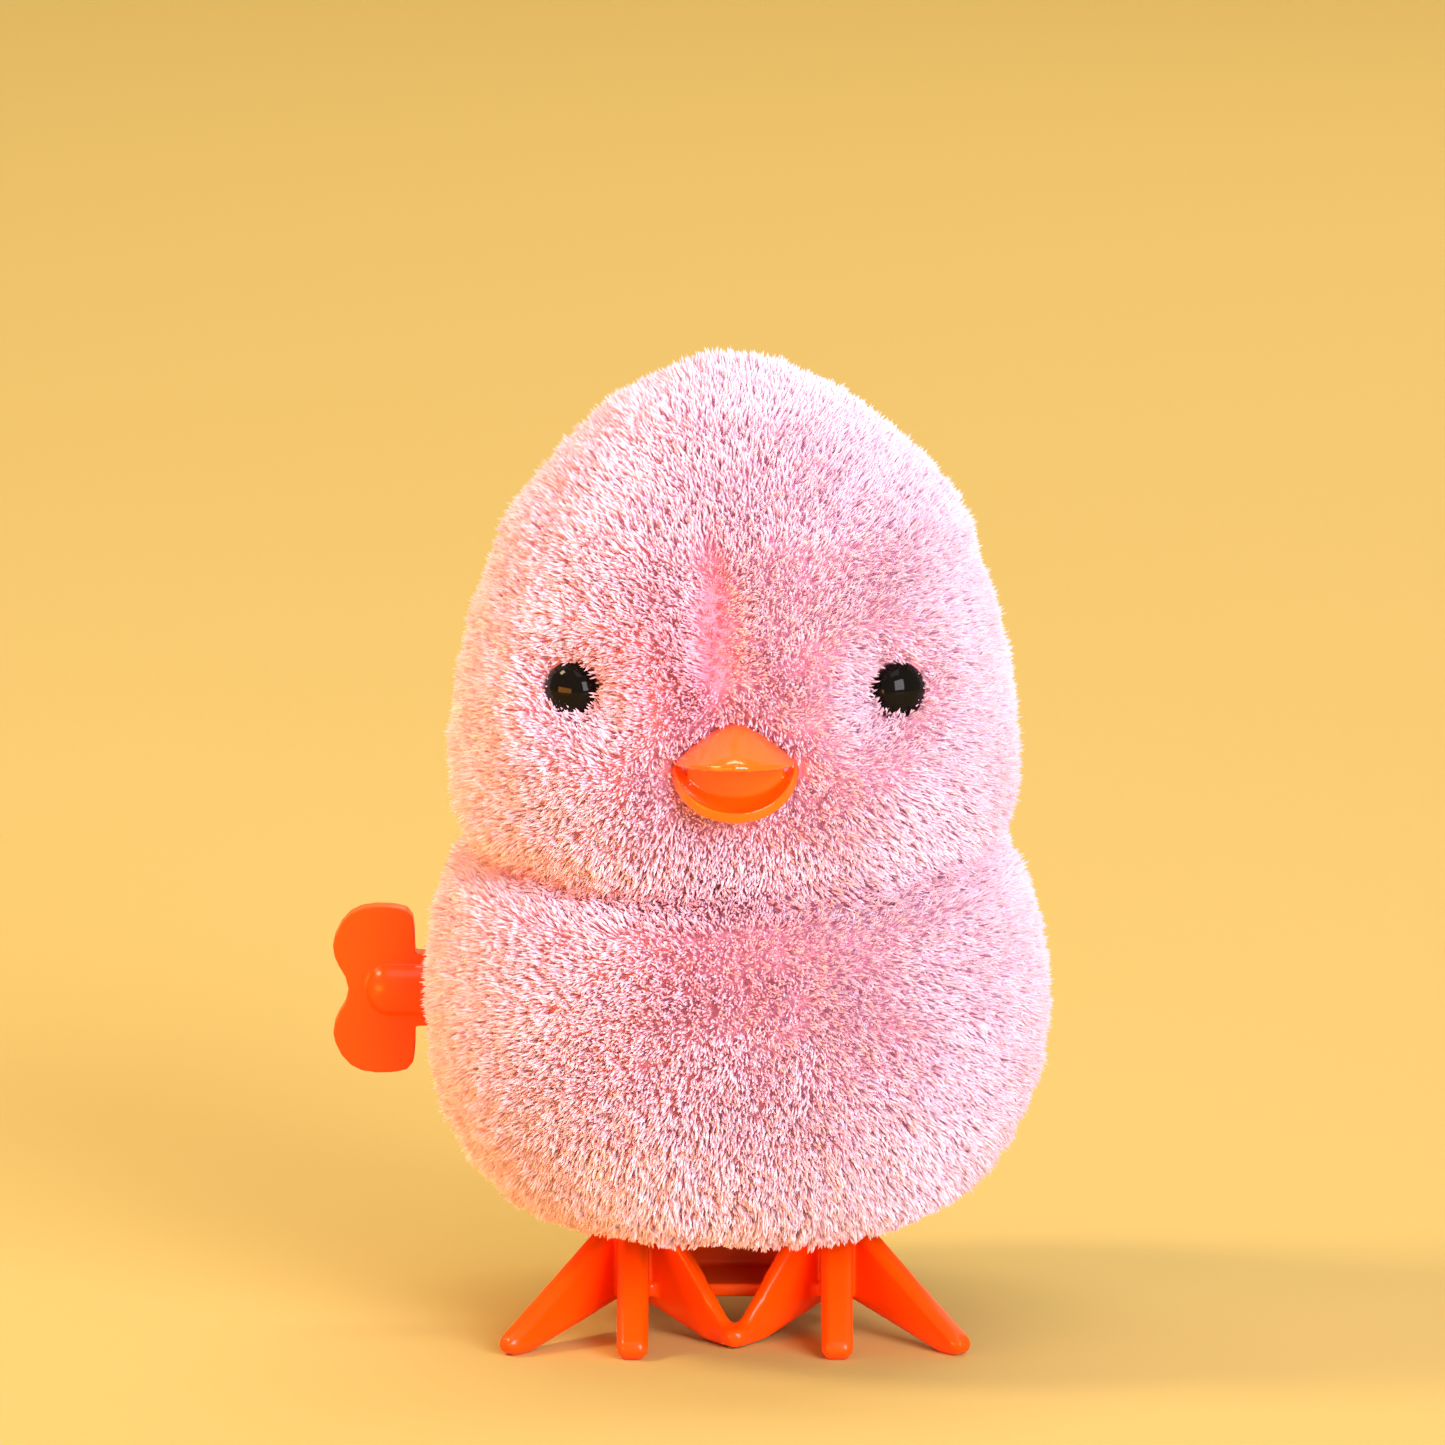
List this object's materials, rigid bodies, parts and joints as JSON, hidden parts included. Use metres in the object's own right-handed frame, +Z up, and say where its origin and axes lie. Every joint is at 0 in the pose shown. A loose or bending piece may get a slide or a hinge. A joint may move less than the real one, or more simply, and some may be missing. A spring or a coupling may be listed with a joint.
{
  "type": "wind-up hopping bird toy",
  "caption": "Plush toy bird standing on splayed plastic feet; a side key winds a spring motor whose crank rocks the feet so that it hops.",
  "frame": {"origin": "on the surface the toy stands on, in its middle plane, under the flat pad where the two inner toes join in front", "axes": "+Z up, the bird looks along -Y, and the winding key sticks out on the -X side"},
  "size_m": [0.064, 0.0617, 0.0877],
  "materials": {
    "pink_plush": "short dense pile, pale pink tips over a deeper pink ground",
    "fibre_fill": "loose white polyester fibre",
    "orange_plastic": "glossy moulded plastic",
    "black_bead": "polished black bead",
    "white_moulding": "plain off-white moulding",
    "grey_case": "grey moulded motor case",
    "gear_plastic": "natural self-lubricating plastic",
    "steel": "bright zinc-plated or spring steel"
  },
  "bodies": {
    "bird": {"plush_cover": "pink_plush", "head_stuffing": "fibre_fill", "beak": "orange_plastic", "eye_right": "black_bead", "eye_left": "black_bead", "eye_washer_right": "white_moulding", "eye_washer_left": "white_moulding", "beak_washer": "white_moulding", "body_shell_right": "white_moulding", "body_shell_left": "white_moulding", "motor_case_right": "grey_case", "motor_case_left": "grey_case", "shell_screw_1": "steel", "shell_screw_2": "steel", "shell_screw_3": "steel", "case_screw_1": "steel", "case_screw_2": "steel", "case_screw_3": "steel", "mainspring": "steel", "foot_pivot_rod": "steel", "pivot_clip_right": "steel", "pivot_clip_left": "steel"},
    "winding_group": {"winding_key": "orange_plastic", "winding_arbor": "steel", "ratchet_wheel": "gear_plastic"},
    "great_wheel_group": {"great_wheel": "gear_plastic"},
    "click_group": {"click_pawl": "steel"},
    "second_wheel_group": {"second_wheel": "gear_plastic", "second_arbor": "steel"},
    "crank_group": {"crank_pinion": "gear_plastic", "crank_shaft": "steel", "crank_disc_right": "gear_plastic", "crank_disc_left": "gear_plastic"},
    "foot_frame": {"feet": "orange_plastic"}
  },
  "joints": [
    {"name": "winding_turn", "type": "hinge", "parent": "bird", "child": "winding_group", "pos_m": [0, 0.0137, 0.03], "axis": [1, 0, 0], "continuous": true},
    {"name": "great_wheel_turn", "type": "hinge", "parent": "bird", "child": "great_wheel_group", "pos_m": [0, 0.0137, 0.03], "axis": [1, 0, 0], "continuous": true},
    {"name": "second_wheel_turn", "type": "hinge", "parent": "bird", "child": "second_wheel_group", "pos_m": [0, 0.00495, 0.02107], "axis": [1, 0, 0], "continuous": true},
    {"name": "crank_turn", "type": "hinge", "parent": "bird", "child": "crank_group", "pos_m": [0, 0.01226, 0.01674], "axis": [1, 0, 0], "continuous": true},
    {"name": "click_lift", "type": "hinge", "parent": "great_wheel_group", "child": "click_group", "pos_m": [0, 0.01142, 0.03576], "axis": [1, 0, 0], "range_deg": [0, 12], "stiffness_Nm_per_rad": 0.000001, "springref_deg": -8.59},
    {"name": "foot_rock", "type": "hinge", "parent": "bird", "child": "foot_frame", "pos_m": [0, 0.01906, 0.01474], "axis": [1, 0, 0], "range_deg": [0, 14]}
  ],
  "couplings": [
    {"joint": "great_wheel_turn", "follows": "winding_turn", "ratio": 1},
    {"joint": "second_wheel_turn", "follows": "winding_turn", "ratio": -4},
    {"joint": "crank_turn", "follows": "winding_turn", "ratio": 9.6}
  ]
}
